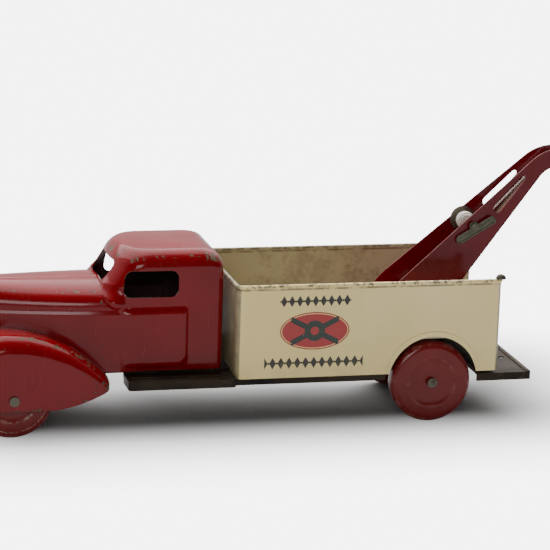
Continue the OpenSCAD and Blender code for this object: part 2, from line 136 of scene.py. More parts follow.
def cut(piece, cutter):
    """Cuts a closed mesh out of a piece and removes the cutter."""
    m = piece.modifiers.new("cut", "BOOLEAN")
    m.operation, m.solver, m.object = "DIFFERENCE", "EXACT", cutter
    freeze(piece)
    bpy.data.objects.remove(cutter)
    return piece


def round_edges(piece, width=0.2, segments=2, angle=40):
    """A small bevel on the sharp edges of a made piece or of a CAD node."""
    weld = piece.modifiers.new("weld", "WELD")
    weld.merge_threshold = 1e-6
    m = piece.modifiers.new("edges", "BEVEL")
    m.width, m.segments, m.limit_method = width * MM, segments, "ANGLE"
    m.angle_limit, m.harden_normals = math.radians(angle), True
    m.use_clamp_overlap = True
    return piece


def rounded_outline(x1, x2, z1, z2, r, steps=8):
    """Points round a rounded rectangle, counter-clockwise."""
    points = []
    for cx, cz, a in ((x2 - r, z2 - r, 0), (x1 + r, z2 - r, 90), (x1 + r, z1 + r, 180),
                      (x2 - r, z1 + r, 270)):
        for i in range(steps + 1):
            t = math.radians(a + 90 * i / steps)
            points.append((cx + r * math.cos(t), cz + r * math.sin(t)))
    return points


def prism(name, outline, place):
    """A closed mesh: place(u, v, end) puts an outline's points at either end."""
    n = len(outline)
    points = [place(u, v, end) for end in (0, 1) for u, v in outline]
    faces = [tuple(range(n - 1, -1, -1)), tuple(range(n, 2 * n))]
    faces += [(k, (k + 1) % n, n + (k + 1) % n, n + k) for k in range(n)]
    piece = make_mesh(name, points, faces)
    shape = bmesh.new()
    shape.from_mesh(piece.data)
    bmesh.ops.recalc_face_normals(shape, faces=shape.faces)
    shape.to_mesh(piece.data)
    shape.free()
    return piece


def sweep(name, route, radius, sides=10, angle=60):
    """A round bar along a route in millimetres; radius is a number or one for each point."""
    route = np.array(route, float)
    n = len(route)
    radii = np.full(n, radius) if np.isscalar(radius) else np.array(radius, float)
    way = np.gradient(route, axis=0)
    way /= np.linalg.norm(way, axis=1)[:, None]
    side = np.cross(way[0], (0, 1, 0) if abs(way[0][1]) < 0.9 else (1, 0, 0))
    points = []
    for i in range(n):
        side = side - way[i] * side.dot(way[i])
        side /= np.linalg.norm(side)
        other = np.cross(way[i], side)
        for k in range(sides):
            a = 2 * math.pi * k / sides
            points.append(tuple(route[i] + radii[i] * (math.cos(a) * side + math.sin(a) * other)))
    faces = grid_faces(n, sides, closed=True)
    faces += [tuple(range(sides - 1, -1, -1)), tuple(range((n - 1) * sides, n * sides))]
    return make_mesh(name, points, faces, angle)


def joined(name, pieces):
    """One mesh from several."""
    bpy.ops.object.select_all(action="DESELECT")
    for p in pieces:
        p.select_set(True)
    bpy.context.view_layer.objects.active = pieces[0]
    bpy.ops.object.join()
    pieces[0].name = pieces[0].data.name = name
    return pieces[0]


def smooth_step(a, b, x):
    t = np.clip((np.asarray(x, float) - a) / (b - a), 0, 1)
    return t * t * (3 - 2 * t)


def mark(piece, rule):
    """Stores a value for each point, 0 to 1, from its place in millimetres: how worn it is, and on the
    wheel faces painted highlight rings as well.
    """
    co = np.empty(len(piece.data.vertices) * 3)
    piece.data.vertices.foreach_get("co", co)
    co = co.reshape(-1, 3) / MM
    worn = np.clip(rule(co[:, 0], co[:, 1], co[:, 2]), 0, 1)
    attribute = piece.data.attributes.new("wear", "FLOAT", "POINT")
    attribute.data.foreach_set("value", worn.astype(np.float32))
    return piece


print("helpers ready")

# %% [markdown]
# Shader helpers. Materials, the world and the shared groups are all trees of nodes, built with the
# same few calls: a number or another node's output can stand for any value.
# %% Node helpers
def node_tree(owner):
    owner.use_nodes = True
    owner.node_tree.nodes.clear()
    return owner.node_tree


def new_group(name, inputs, outputs):
    group = bpy.data.node_groups.new(name, "ShaderNodeTree")
    for label, kind, value in inputs:
        socket = group.interface.new_socket(label, in_out="INPUT", socket_type=kind)
        if value is not None:
            socket.default_value = value
    for label, kind in outputs:
        group.interface.new_socket(label, in_out="OUTPUT", socket_type=kind)
    return group, group.nodes.new("NodeGroupInput"), group.nodes.new("NodeGroupOutput")


class Net:
    """Short ways to add nodes to a tree and join them."""

    def __init__(self, tree):
        self.tree = tree

    def set(self, socket, value):
        if isinstance(value, bpy.types.NodeSocket):
            self.tree.links.new(value, socket)
        elif value is not None:
            socket.default_value = value

    def math(self, op, a, b=None, c=None, clamp=False):
        n = self.tree.nodes.new("ShaderNodeMath")
        n.operation, n.use_clamp = op, clamp
        for socket, value in zip(n.inputs, (a, b, c)):
            self.set(socket, value)
        return n.outputs[0]

    def times(self, a, b, clamp=False):
        return self.math("MULTIPLY", a, b, clamp=clamp)

    def plus(self, a, b):
        return self.math("ADD", a, b)

    def minus(self, a, b):
        return self.math("SUBTRACT", a, b)

    def vector(self, op, a, b=None):
        n = self.tree.nodes.new("ShaderNodeVectorMath")
        n.operation = op
        self.set(n.inputs[0], a)
        self.set(n.inputs[1], b)
        return n.outputs["Value" if op in ("LENGTH", "DOT_PRODUCT") else "Vector"]

    def noise(self, vector, scale, detail=3.0, rough=0.55, distortion=0.0):
        n = self.tree.nodes.new("ShaderNodeTexNoise")
        self.set(n.inputs["Vector"], vector)
        self.set(n.inputs["Scale"], scale)
        n.inputs["Detail"].default_value, n.inputs["Roughness"].default_value = detail, rough
        n.inputs["Distortion"].default_value = distortion
        return n.outputs["Fac"]

    def ramp(self, value, low, high, to_low=0.0, to_high=1.0):
        n = self.tree.nodes.new("ShaderNodeMapRange")
        n.interpolation_type = "SMOOTHSTEP"
        self.set(n.inputs["Value"], value)
        for label, v in (("From Min", low), ("From Max", high), ("To Min", to_low), ("To Max", to_high)):
            self.set(n.inputs[label], v)
        return n.outputs["Result"]

    def blend(self, factor, a, b):
        n = self.tree.nodes.new("ShaderNodeMix")
        n.data_type = "RGBA"
        self.set(n.inputs["Factor"], factor)
        self.set(n.inputs[6], a)
        self.set(n.inputs[7], b)
        return n.outputs[2]

    def stretch(self, vector, scale, rotation=(0, 0, 0)):
        n = self.tree.nodes.new("ShaderNodeMapping")
        self.set(n.inputs["Vector"], vector)
        n.inputs["Scale"].default_value, n.inputs["Rotation"].default_value = scale, rotation
        return n.outputs[0]

    def group(self, group, **values):
        n = self.tree.nodes.new("ShaderNodeGroup")
        n.node_tree = group
        for label, value in values.items():
            self.set(n.inputs[label.replace("_", " ")], value)
        return n


print("node helpers ready")

# %% [markdown]
# The set is a pale paper floor that brightens into white with distance, a large soft light overhead
# and a dim room behind the camera. The floor brightens because it glows, far more to the camera than
# toward the truck, and the glow fades out near the truck's footprint: that fade is a painted shadow
# round the truck. The overhead light comes in two parts, and only the weaker one is mirrored, so that
# level enamel keeps its colour. Level surfaces mirror the overhead light, upright ones the floor, and
# those that lean back a little mirror the dim room, which gives enamel its dark bands.
# %% Set and lights
FOOTPRINT, FOOTPRINT_HALF = (0, 0.02, 0), (0.13, 0.03, 0)
SHADOW_PAINT_FROM, SHADOW_PAINT_TO = 0.008, 0.14
GLOW_CAST, GLOW_SEEN = 0.95, 6.2
floor_material = bpy.data.materials.new("floor_paper_glow")
tree = node_tree(floor_material)
net = Net(tree)
place = tree.nodes.new("ShaderNodeNewGeometry").outputs["Position"]
from_middle = net.vector("ABSOLUTE", net.vector("SUBTRACT", place, FOOTPRINT))
outward = net.vector("SUBTRACT", from_middle, FOOTPRINT_HALF)
distance = net.vector("LENGTH", net.vector("MAXIMUM", outward, (0, 0, 0)))
paper = tree.nodes.new("ShaderNodeBsdfDiffuse")
paper.inputs["Color"].default_value = (0.40, 0.397, 0.394, 1)
seen = tree.nodes.new("ShaderNodeLightPath").outputs["Is Camera Ray"]
glow = tree.nodes.new("ShaderNodeEmission")
glow.inputs["Color"].default_value = (1, 0.997, 0.993, 1)
# The floor glows much brighter to the camera than toward the truck: painted brightness.
net.set(glow.inputs["Strength"], net.plus(net.times(seen, GLOW_SEEN - GLOW_CAST), GLOW_CAST))
mix = tree.nodes.new("ShaderNodeMixShader")
out = tree.nodes.new("ShaderNodeOutputMaterial")
# Lit paper near the truck, glow further out: the fade between them is a painted shadow round the truck's
# footprint.
net.set(mix.inputs[0], net.ramp(distance, SHADOW_PAINT_FROM, SHADOW_PAINT_TO))
net.set(mix.inputs[1], paper.outputs[0])
net.set(mix.inputs[2], glow.outputs[0])
net.set(out.inputs[0], mix.outputs[0])
floor = make_mesh("floor", [(-9000, -9000, 0), (9000, -9000, 0), (9000, 9000, 0), (-9000, 9000, 0)],
                  [(0, 1, 2, 3)])
floor.data.materials.append(floor_material)


def area_light(name, place, target, size, power, colour=(1, 1, 1), size_y=None):
    data = bpy.data.lights.new(name, "AREA")
    data.energy, data.color, data.size = power, colour, size
    if size_y:
        data.shape, data.size_y = "RECTANGLE", size_y
    lamp = bpy.data.objects.new(name, data)
    lamp.location = place
    lamp.rotation_euler = (Vector(target) - Vector(place)).to_track_quat("-Z", "Y").to_euler()
    scene.collection.objects.link(lamp)
    return lamp


area_light("overhead_softbox", (0.0, 1.1, 1.5), (0, 0.1, 0), 3.2, 36, size_y=2.2)
overhead_fill = area_light("overhead_fill", (0.0, 1.1, 1.52), (0, 0.1, 0), 3.2, 122, size_y=2.2)
overhead_fill.visible_glossy = False
area_light("front_fill", (-0.7, -2.2, 0.95), (0, 0, 0.05), 1.2, 16, size_y=0.8)
world = scene.world or bpy.data.worlds.new("room")
scene.world = world
tree = node_tree(world)
direction = tree.nodes.new("ShaderNodeTexCoord")
split = tree.nodes.new("ShaderNodeSeparateXYZ")
rise = tree.nodes.new("ShaderNodeMapRange")
rise.inputs["From Min"].default_value, rise.inputs["From Max"].default_value = -0.25, 0.5
rise.inputs["To Min"].default_value, rise.inputs["To Max"].default_value = 0.05, 0.66
room = tree.nodes.new("ShaderNodeBackground"); room.inputs["Color"].default_value = (1, 0.99, 0.98, 1)
out = tree.nodes.new("ShaderNodeOutputWorld")
tree.links.new(direction.outputs["Generated"], split.inputs[0])
tree.links.new(split.outputs["Y"], rise.inputs["Value"])
tree.links.new(rise.outputs["Result"], room.inputs["Strength"])
tree.links.new(room.outputs[0], out.inputs[0])
print("set ready")

# %% [markdown]
# Effects that several finishes share. Each is a group of shader nodes that only gives a mask or a
# colour. Worn edges compare the true normal with a rounded one; chips come from noise, driven by
# the stored wear; scratches are long thin cells; stains are soft cloud noise.
# %% Shared effects
VALUE, VECTOR = "NodeSocketFloat", "NodeSocketVector"

worn_edges, g_in, g_out = new_group("Worn edges", [("Vector", VECTOR, None), ("Radius", VALUE, 0.0006),
    ("Breakup", VALUE, 0.5)], [("Mask", VALUE)])
net = Net(worn_edges)
soft = worn_edges.nodes.new("ShaderNodeBevel"); soft.samples = 4
worn_edges.links.new(g_in.outputs["Radius"], soft.inputs["Radius"])
true = worn_edges.nodes.new("ShaderNodeNewGeometry")
agree = net.vector("DOT_PRODUCT", soft.outputs[0], true.outputs["Normal"])
edge = net.ramp(net.minus(1.0, agree), 0.02, 0.22)
breakup = net.noise(g_in.outputs["Vector"], 260.0, 4.0, 0.65)
broken = net.ramp(net.plus(breakup, net.times(g_in.outputs["Breakup"], -0.4)), 0.22, 0.36)
net.set(g_out.inputs["Mask"], net.times(edge, broken, clamp=True))

chips, g_in, g_out = new_group("Chips", [("Vector", VECTOR, None), ("Wear", VALUE, 0.0),
    ("Base", VALUE, 0.05), ("Scale", VALUE, 300.0)], [("Mask", VALUE), ("Rim", VALUE)])
net = Net(chips)
large = net.noise(g_in.outputs["Vector"], net.times(g_in.outputs["Scale"], 0.22), 2.0, 0.5)
small = net.noise(g_in.outputs["Vector"], g_in.outputs["Scale"], 5.0, 0.62, 0.4)
drive = net.plus(net.times(g_in.outputs["Wear"], 0.26), g_in.outputs["Base"])
level = net.plus(net.plus(net.times(small, 0.72), net.times(large, 0.36)), drive)
net.set(g_out.inputs["Mask"], net.ramp(level, 0.765, 0.79))
net.set(g_out.inputs["Rim"], net.ramp(level, 0.745, 0.765))

scratches, g_in, g_out = new_group("Scratches", [("Vector", VECTOR, None), ("Amount", VALUE, 0.5)],
    [("Mask", VALUE)])
net = Net(scratches)
lines = []
for turn, scale in (((0, 0.35, 0.2), 120.0), ((0.2, -0.9, 0.5), 90.0), ((0.5, 1.3, -0.4), 100.0)):
    cell = scratches.nodes.new("ShaderNodeTexVoronoi")
    cell.feature = "DISTANCE_TO_EDGE"
    cell.inputs["Scale"].default_value = scale
    wobble = net.stretch(g_in.outputs["Vector"], (1.0, 1.0, 0.12), turn)
    net.set(cell.inputs["Vector"], wobble)
    line = net.ramp(cell.outputs["Distance"], 0.006, 0.0)
    keep = net.ramp(net.noise(net.stretch(g_in.outputs["Vector"], (1, 1, 1), turn), scale * 0.8, 2.0),
                    0.56, 0.64)
    lines.append(net.times(line, keep))
total = net.math("MAXIMUM", net.math("MAXIMUM", lines[0], lines[1]), lines[2])
net.set(g_out.inputs["Mask"], net.times(total, g_in.outputs["Amount"], clamp=True))

stains, g_in, g_out = new_group("Stains", [("Vector", VECTOR, None), ("Scale", VALUE, 30.0),
    ("Cover", VALUE, 0.4)], [("Mask", VALUE)])
net = Net(stains)
cloud = net.noise(g_in.outputs["Vector"], g_in.outputs["Scale"], 6.0, 0.7, 0.6)
fine = net.noise(g_in.outputs["Vector"], net.times(g_in.outputs["Scale"], 7.0), 4.0, 0.7)
both = net.plus(net.times(cloud, 0.7), net.times(fine, 0.3))
edge_low = net.minus(0.78, net.times(g_in.outputs["Cover"], 0.5))
net.set(g_out.inputs["Mask"], net.ramp(both, edge_low, net.plus(edge_low, 0.16)))
print("effects:", [g.name for g in (worn_edges, chips, scratches, stains)])

# %% [markdown]
# The printed side of the bed: a red oval holding a plain four-armed figure, with a row of
# lozenges above and a longer one below. It stands where the real toy was printed, and shows no
# letters or marks. The same print is on both sides.
# %% Printed ornament
ornament, g_in, g_out = new_group("Printed ornament", [("Vector", VECTOR, None)],
    [("Black", VALUE), ("Red", VALUE), ("Green", VALUE)])
net = Net(ornament)
parts = ornament.nodes.new("ShaderNodeSeparateXYZ")
net.set(parts.inputs[0], g_in.outputs["Vector"])
u = net.times(net.minus(parts.outputs["X"], 0.0168), 1000.0)
v = net.times(net.minus(parts.outputs["Z"], 0.0541), 1000.0)
aside = net.math("GREATER_THAN", net.math("ABSOLUTE", parts.outputs["Y"]), 0.0437)


def oval(half_u, half_v):
    """About the distance in millimetres from an oval, negative inside."""
    a = net.math("POWER", net.math("DIVIDE", u, half_u), 2.0)
    b = net.math("POWER", net.math("DIVIDE", v, half_v), 2.0)
    return net.times(net.minus(net.math("SQRT", net.plus(a, b)), 1.0), half_v)


def lozenges(middle, half_length, pitch, half_height):
    """A row of upright lozenges with a dot between each two."""
    run = net.math("PINGPONG", net.plus(u, 500.0 * pitch), pitch / 2)
    tall = net.math("ABSOLUTE", net.minus(v, middle))
    big = net.plus(net.math("DIVIDE", run, pitch * 0.40), net.math("DIVIDE", tall, half_height))
    away = net.minus(pitch / 2, run)
    dot_size = net.plus(net.math("POWER", away, 2.0), net.math("POWER", tall, 2.0))
    either = net.math("MAXIMUM", net.ramp(big, 1.08, 0.98), net.ramp(dot_size, 0.42, 0.3))
    return net.times(either, net.ramp(net.math("ABSOLUTE", u), half_length + 0.1, half_length))


body = net.ramp(oval(19.0, 10.3), 0.12, -0.12)
line = net.times(net.ramp(oval(17.9, 9.2), -0.1, 0.1), net.ramp(oval(18.3, 9.6), 0.1, -0.1))
bar_1 = net.math("ABSOLUTE", net.plus(net.times(u, 0.5), v))
bar_2 = net.math("ABSOLUTE", net.minus(net.times(u, 0.5), v))
span = net.ramp(net.math("ABSOLUTE", u), 13.2, 12.9)
cross = net.times(net.ramp(net.math("MINIMUM", bar_1, bar_2), 1.75, 1.55), span)
disc = net.ramp(oval(5.6, 5.6), 0.1, -0.1)
hole = net.ramp(oval(2.3, 2.3), 0.1, -0.1)
figure = net.times(net.math("MAXIMUM", cross, disc), net.minus(1.0, hole))
rows = net.math("MAXIMUM", lozenges(16.3, 19.3, 4.3, 3.0), lozenges(-17.3, 27.0, 4.5, 3.1))
net.set(g_out.inputs["Black"], net.times(rows, aside))
net.set(g_out.inputs["Red"], net.times(net.times(body, net.minus(1.0, line)), aside))
net.set(g_out.inputs["Green"], net.times(net.times(figure, body), aside))
print("printed ornament ready")

# %% [markdown]
# The finishes. Each one is its own material: enamel keeps its gloss under a coat, and chips show
# dull primer and steel. The bed's inside is darkened all over as painted shade, with blotchy grime
# on it; a painted shade line runs under its rim, and its sides turn darker and browner towards the
# bottom. Paint on the wheels is thin over wood. The string is matt cotton.
# %% Finishes
def material(name):
    m = bpy.data.materials.new(name)
    tree = node_tree(m)
    net = Net(tree)
    place = tree.nodes.new("ShaderNodeTexCoord").outputs["Object"]
    shader = tree.nodes.new("ShaderNodeBsdfPrincipled")
    out = tree.nodes.new("ShaderNodeOutputMaterial")
    tree.links.new(shader.outputs[0], out.inputs[0])
    wear = tree.nodes.new("ShaderNodeAttribute")
    wear.attribute_name = "wear"
    return m, net, place, shader, wear.outputs["Fac"]


def bump(net, height, strength, distance):
    n = net.tree.nodes.new("ShaderNodeBump")
    net.set(n.inputs["Height"], height)
    n.inputs["Strength"].default_value, n.inputs["Distance"].default_value = strength, distance
    return n.outputs["Normal"]


def darker(colour, share):
    return tuple(v * share for v in colour[:3]) + (1,)


def enamel(name, main, shade, chip, rough=0.16, coat=0.2, base_wear=0.0, chip_scale=300.0, shine=0.26):
    """Glossy paint over primer and steel, worn at its edges."""
    m, net, place, shader, worn = material(name)
    tone = net.blend(net.ramp(net.noise(place, 22.0, 3.0), 0.35, 0.7), main, shade)
    e = net.group(worn_edges, Vector=place, Radius=0.0007, Breakup=0.55).outputs["Mask"]
    c = net.group(chips, Vector=place, Wear=worn, Base=base_wear, Scale=chip_scale)
    s = net.group(scratches, Vector=place, Amount=0.2).outputs["Mask"]
    bare = net.math("MAXIMUM", c.outputs["Mask"], net.times(e, 0.85), clamp=True)
    metal = net.blend(net.noise(place, 900.0, 2.0), chip, darker(chip, 0.45))
    rim = net.blend(net.times(c.outputs["Rim"], 0.6), tone, darker(main, 0.35))
    scuffed = net.blend(net.times(s, 0.5), rim, (0.62, 0.42, 0.38, 1))
    net.set(shader.inputs["Base Color"], net.blend(bare, scuffed, metal))
    dulled = net.ramp(net.noise(place, 60.0, 4.0), 0.3, 0.7, rough - 0.05, rough + 0.08)
    net.set(shader.inputs["Roughness"], net.plus(net.times(bare, 0.3), dulled))
    net.set(shader.inputs["Coat Weight"], net.times(net.minus(1.0, bare), coat))
    shader.inputs["Coat Roughness"].default_value = 0.06
    shader.inputs["Specular IOR Level"].default_value = shine
    height = net.minus(net.noise(place, 34.0, 2.0), net.times(bare, 0.4))
    net.set(shader.inputs["Normal"], bump(net, height, 0.35, 0.0004))
    return m


red_enamel = enamel("red_enamel", (0.215, 0.0022, 0.0056, 1), (0.18, 0.0017, 0.0042, 1),
                    (0.15, 0.115, 0.07, 1), chip_scale=380.0)
boom_enamel = enamel("boom_enamel", (0.145, 0.0013, 0.006, 1), (0.115, 0.001, 0.004, 1),
                     (0.20, 0.18, 0.14, 1), rough=0.2)
black_enamel = enamel("black_enamel", (0.010, 0.0082, 0.0065, 1), (0.042, 0.029, 0.018, 1),
                      (0.12, 0.085, 0.055, 1), rough=0.42, coat=0.0, base_wear=0.03, shine=0.13)

cream_enamel, net, place, shader, worn = material("cream_enamel")
prints = net.group(ornament, Vector=place)
split = net.tree.nodes.new("ShaderNodeSeparateXYZ"); net.set(split.inputs[0], place)
yellowed = net.blend(net.ramp(split.outputs["X"], 0.0, 0.09), (0.97, 0.785, 0.315, 1), (1.0, 0.84, 0.42, 1))
tone = net.blend(net.ramp(net.noise(place, 14.0, 3.0), 0.3, 0.75), yellowed, (0.90, 0.72, 0.30, 1))
stain = net.group(stains, Vector=place, Scale=38.0, Cover=0.34).outputs["Mask"]
tone = net.blend(net.times(stain, 0.16), tone, (0.30, 0.21, 0.12, 1))
inside = net.math("LESS_THAN", net.math("ABSOLUTE", split.outputs["Y"]), 0.0434)
grime = net.group(stains, Vector=place, Scale=52.0, Cover=0.62).outputs["Mask"]
# Painted shade: the whole inside of the bed is darkened to grey-brown, standing in for the shade within it;
# the blotchy grime below is dirt.
tone = net.blend(net.times(inside, 0.72), tone, (0.205, 0.19, 0.165, 1))
grime = net.times(net.times(grime, inside), 0.5)
tone = net.blend(grime, tone, (0.19, 0.135, 0.085, 1))
speck = net.group(stains, Vector=place, Scale=260.0, Cover=0.08).outputs["Mask"]
tone = net.blend(net.times(speck, 0.5), tone, (0.25, 0.17, 0.10, 1))
scrape = net.group(scratches, Vector=place, Amount=0.4).outputs["Mask"]
ink_wear = net.ramp(net.noise(place, 700.0, 4.0, 0.7), 0.24, 0.32)
tone = net.blend(net.times(prints.outputs["Red"], ink_wear), tone, (0.42, 0.030, 0.030, 1))
tone = net.blend(net.times(prints.outputs["Green"], ink_wear), tone, (0.022, 0.035, 0.026, 1))
tone = net.blend(net.times(prints.outputs["Black"], ink_wear), tone, (0.025, 0.022, 0.02, 1))
e = net.group(worn_edges, Vector=place, Radius=0.0006, Breakup=0.5).outputs["Mask"]
c = net.group(chips, Vector=place, Wear=worn, Base=0.0, Scale=420.0)
rim_z = net.ramp(split.outputs["Z"], 0.0774, 0.0785)
rim_worn = net.times(rim_z, net.ramp(net.noise(place, 300.0, 4.0, 0.7), 0.46, 0.58))
bare = net.math("MAXIMUM", net.math("MAXIMUM", c.outputs["Mask"], net.times(e, 0.7)),
                net.times(rim_worn, 0.9), clamp=True)
height = split.outputs["Z"]
# Painted shade: a thin dark brown line just under the rim bead, broken up by noise, stands in for the
# bead's shadow.
crease = net.times(net.ramp(height, 0.0762, 0.0768), net.ramp(height, 0.0778, 0.0773))
crease = net.times(crease, net.ramp(net.noise(place, 90.0, 4.0, 0.7), 0.36, 0.56))
tone = net.blend(net.times(crease, 0.8), tone, (0.13, 0.085, 0.05, 1))
# Darker and browner towards the bottom of the bed, in noisy patches.
foot = net.times(net.ramp(height, 0.040, 0.028), net.ramp(net.noise(place, 45.0, 4.0, 0.65), 0.4, 0.7))
tone = net.blend(net.times(foot, 0.3), tone, (0.42, 0.30, 0.13, 1))
tone = net.blend(net.times(scrape, 0.35), tone, (0.36, 0.28, 0.19, 1))
net.set(shader.inputs["Base Color"], net.blend(bare, tone, (0.16, 0.125, 0.085, 1)))
net.set(shader.inputs["Roughness"], net.ramp(net.noise(place, 40.0, 3.0), 0.3, 0.7, 0.32, 0.42))
shader.inputs["Coat Weight"].default_value = 0.25
shader.inputs["Coat Roughness"].default_value = 0.2
net.set(shader.inputs["Normal"], bump(net, net.noise(place, 26.0, 2.0), 0.3, 0.0005))


def worn_metal(name, main, dark, rough, shine=0.9):
    """Plated or bare steel with tarnish."""
    m, net, place, shader, worn = material(name)
    tarnish = net.group(stains, Vector=place, Scale=120.0, Cover=0.55).outputs["Mask"]
    e = net.group(worn_edges, Vector=place, Radius=0.0005, Breakup=0.1).outputs["Mask"]
    tone = net.blend(tarnish, main, dark)
    bright = tuple(min(1.0, v * 1.6) for v in main[:3]) + (1,)
    net.set(shader.inputs["Base Color"], net.blend(net.times(e, 0.8), tone, bright))
    net.set(shader.inputs["Roughness"], net.plus(net.times(tarnish, 0.25), rough))
    shader.inputs["Metallic"].default_value = shine
    net.set(shader.inputs["Normal"], bump(net, net.noise(place, 600.0, 4.0), 0.4, 0.0002))
    return m


bare_steel = worn_metal("bare_steel", (0.13, 0.12, 0.09, 1), (0.055, 0.045, 0.032, 1), 0.4, 0.8)
key_steel = worn_metal("key_steel", (0.105, 0.105, 0.075, 1), (0.05, 0.05, 0.036, 1), 0.42, 0.6)
raw_steel = worn_metal("raw_steel", (0.20, 0.12, 0.085, 1), (0.10, 0.05, 0.035, 1), 0.5, 0.3)
# A very dark brown finish for the inside of the cab: painted shade, standing in for the shade inside it.
primer = worn_metal("cab_inside_shade", (0.045, 0.013, 0.010, 1), (0.025, 0.012, 0.009, 1), 0.6, 0.1)
plated_steel = worn_metal("plated_steel", (0.62, 0.60, 0.56, 1), (0.28, 0.24, 0.18, 1), 0.22, 1.0)

wheel_paint, net, place, shader, worn = material("wheel_paint")
tone = net.blend(net.ramp(net.noise(place, 40.0, 3.0, 0.5), 0.35, 0.75), (0.18, 0.011, 0.011, 1),
                 (0.150, 0.008, 0.008, 1))
grain = net.noise(net.stretch(place, (1, 6, 1)), 160.0, 4.0)
tone = net.blend(net.ramp(grain, 0.5, 0.75, 0.0, 0.06), tone, (0.25, 0.055, 0.045, 1))
c = net.group(chips, Vector=place, Wear=worn, Base=-0.03, Scale=520.0)
# Lighter where the stored value is high: rubbed paint on the tread, and painted highlight rings on the
# wheel faces.
rub_and_ring_highlight = net.times(worn, net.ramp(net.noise(place, 240.0, 4.0), 0.42, 0.62))
tone = net.blend(net.times(rub_and_ring_highlight, 0.4), tone, (0.46, 0.27, 0.23, 1))
net.set(shader.inputs["Base Color"], net.blend(net.times(c.outputs["Mask"], 0.85), tone,
                                               (0.36, 0.26, 0.18, 1)))
net.set(shader.inputs["Roughness"], net.ramp(grain, 0.3, 0.7, 0.16, 0.22))
shader.inputs["Specular IOR Level"].default_value = 0.35
net.set(shader.inputs["Normal"], bump(net, grain, 0.05, 0.0002))

string_cotton, net, place, shader, worn = material("string_cotton")
fuzz = net.noise(place, 1500.0, 4.0, 0.7)
net.set(shader.inputs["Base Color"], net.blend(fuzz, (0.80, 0.76, 0.70, 1), (0.58, 0.50, 0.44, 1)))
shader.inputs["Roughness"].default_value = 0.9
shader.inputs["Sheen Weight"].default_value = 0.4
net.set(shader.inputs["Normal"], bump(net, fuzz, 0.6, 0.0002))
SLOTS = {"red_enamel": red_enamel, "boom_enamel": boom_enamel, "cream_enamel": cream_enamel,
         "black_enamel": black_enamel, "plated_steel": plated_steel, "bare_steel": bare_steel,
         "wheel_paint": wheel_paint, "string": string_cotton}
print("finishes:", sorted(SLOTS))


def place_piece(piece, body, slot_name, *nodes, finish=None):
    """Gives a made piece its finish and its body, and hides the CAD nodes it stands for."""
    if not piece.data.materials:
        piece.data.materials.append(finish or SLOTS[slot_name])
    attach(piece, body)
    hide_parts(*nodes)
    return piece

# %% [markdown]
# The cab is one pressing. Level loops, round at the front and tighter at the back, are stacked from
# the sill to the belt, lean back with the windscreen, and roll over into a shallow crown. The lower
# body and door stand a little proud of the pillars, with a sloping band along the belt line. Above
# the hood, the front corners flare forward in a small fillet.
# %% Cab
CAB_HALF, CAB_REAR, SILL, COWL_FILLET = 30.0, -30.5, 31.5, 6.0
CAB_FRONT, LEAN_FROM, LEAN = -93.4, 77.0, 0.62
ROLL_FROM, ROLL_HIGH, ROLL_WIDE, CROWN = 86.5, 8.0, 9.0, 0.55


def cab_loop(z, inset, front, step_on=True, count=72):
    """One level loop of the cab at height z; its front end is a broad curve."""
    half = CAB_HALF - inset
    rear = CAB_REAR - inset
    depth = min(15.3, half)
    corner = 3.0 + 3.0 * smooth_step(80, 92, z)
    loop = []
    bend = front + depth
    for i in range(count + 1):
        a = math.pi / 2 * (i / count)
        wide, ahead = math.sin(a) ** 0.8, math.cos(a) ** 0.8
        y = half * wide
        tilt = math.atan2(wide ** 1.5 / half, ahead ** 1.5 / depth)
        above = z - 65.0 - 11.9 * max(0.0, 1 - (y / 30.6) ** 2.55) ** (1 / 2.55)
        flare = 0.45 * COWL_FILLET * min(1.4, max(0.0, 1 - above / COWL_FILLET)) ** 2
        flare *= float(smooth_step(1.4, 0.8, tilt) * smooth_step(0.1, 0.4, tilt) * smooth_step(62, 68, z))
        loop.append((bend - depth * ahead - flare * math.cos(tilt), y + flare * math.sin(tilt)))
    straight = np.linspace(bend, rear - corner, 60)[1:]
    loop += [(x, half) for x in straight]
    for i in range(1, 9):
        a = math.pi / 2 * i / 8
        loop.append((rear - corner + corner * math.sin(a), half - corner + corner * math.cos(a)))
    loop += [(rear, y) for y in np.linspace(half - corner, 0, 24)[1:]]
    out = []
    for x, y in loop:
        lift = 0.0
        if step_on:
            past = math.hypot(max(0.0, x + 55), max(0.0, 39.2 - z)) - 5
            lift = 1.7 * float(smooth_step(66.3, 62.2, z) * smooth_step(1.7, -1.7, past)
                               * smooth_step(0, 14, y))
        nx = 0.0 if x > bend else -1.0 * (1 - (y / half) ** 3)
        out.append((x + lift * nx * 0.6, y + lift * (1.0 if y > 1 else 0.0), z))
    mirrored = [(x, -y, z) for x, y, z in out[-2:0:-1]]
    return out + mirrored


rows = []
levels = (np.linspace(SILL, 60, 34), np.linspace(61, 68, 22), np.linspace(68.4, ROLL_FROM, 46))
for z in np.concatenate(levels):
    lean = max(0.0, z - LEAN_FROM) * LEAN
    rows.append(cab_loop(float(z), 0.0, CAB_FRONT + lean))
for i in range(1, 15):
    a = math.pi / 2 * i / 14
    z = ROLL_FROM + ROLL_HIGH * math.sin(a)
    inset = ROLL_WIDE * (1 - math.cos(a))
    front = CAB_FRONT + (ROLL_FROM - LEAN_FROM) * LEAN + 0.5 * inset + 3.2 * math.sin(a)
    rows.append(cab_loop(z, inset, front, False))
last = np.array(rows[-1])
centre = np.array([last[:, 0].mean() + 1.0, 0, 0])
for i in range(1, 12):
    f = 1 - i / 12
    ring = last.copy()
    ring[:, 0] = centre[0] + (last[:, 0] - centre[0]) * f
    ring[:, 1] = last[:, 1] * f
    ring[:, 2] = ROLL_FROM + ROLL_HIGH + CROWN * (1 - f * f)
    rows.append([tuple(p) for p in ring])
columns = len(rows[0])
points = [p for row in rows for p in row]
faces = grid_faces(len(rows), columns, closed=True)
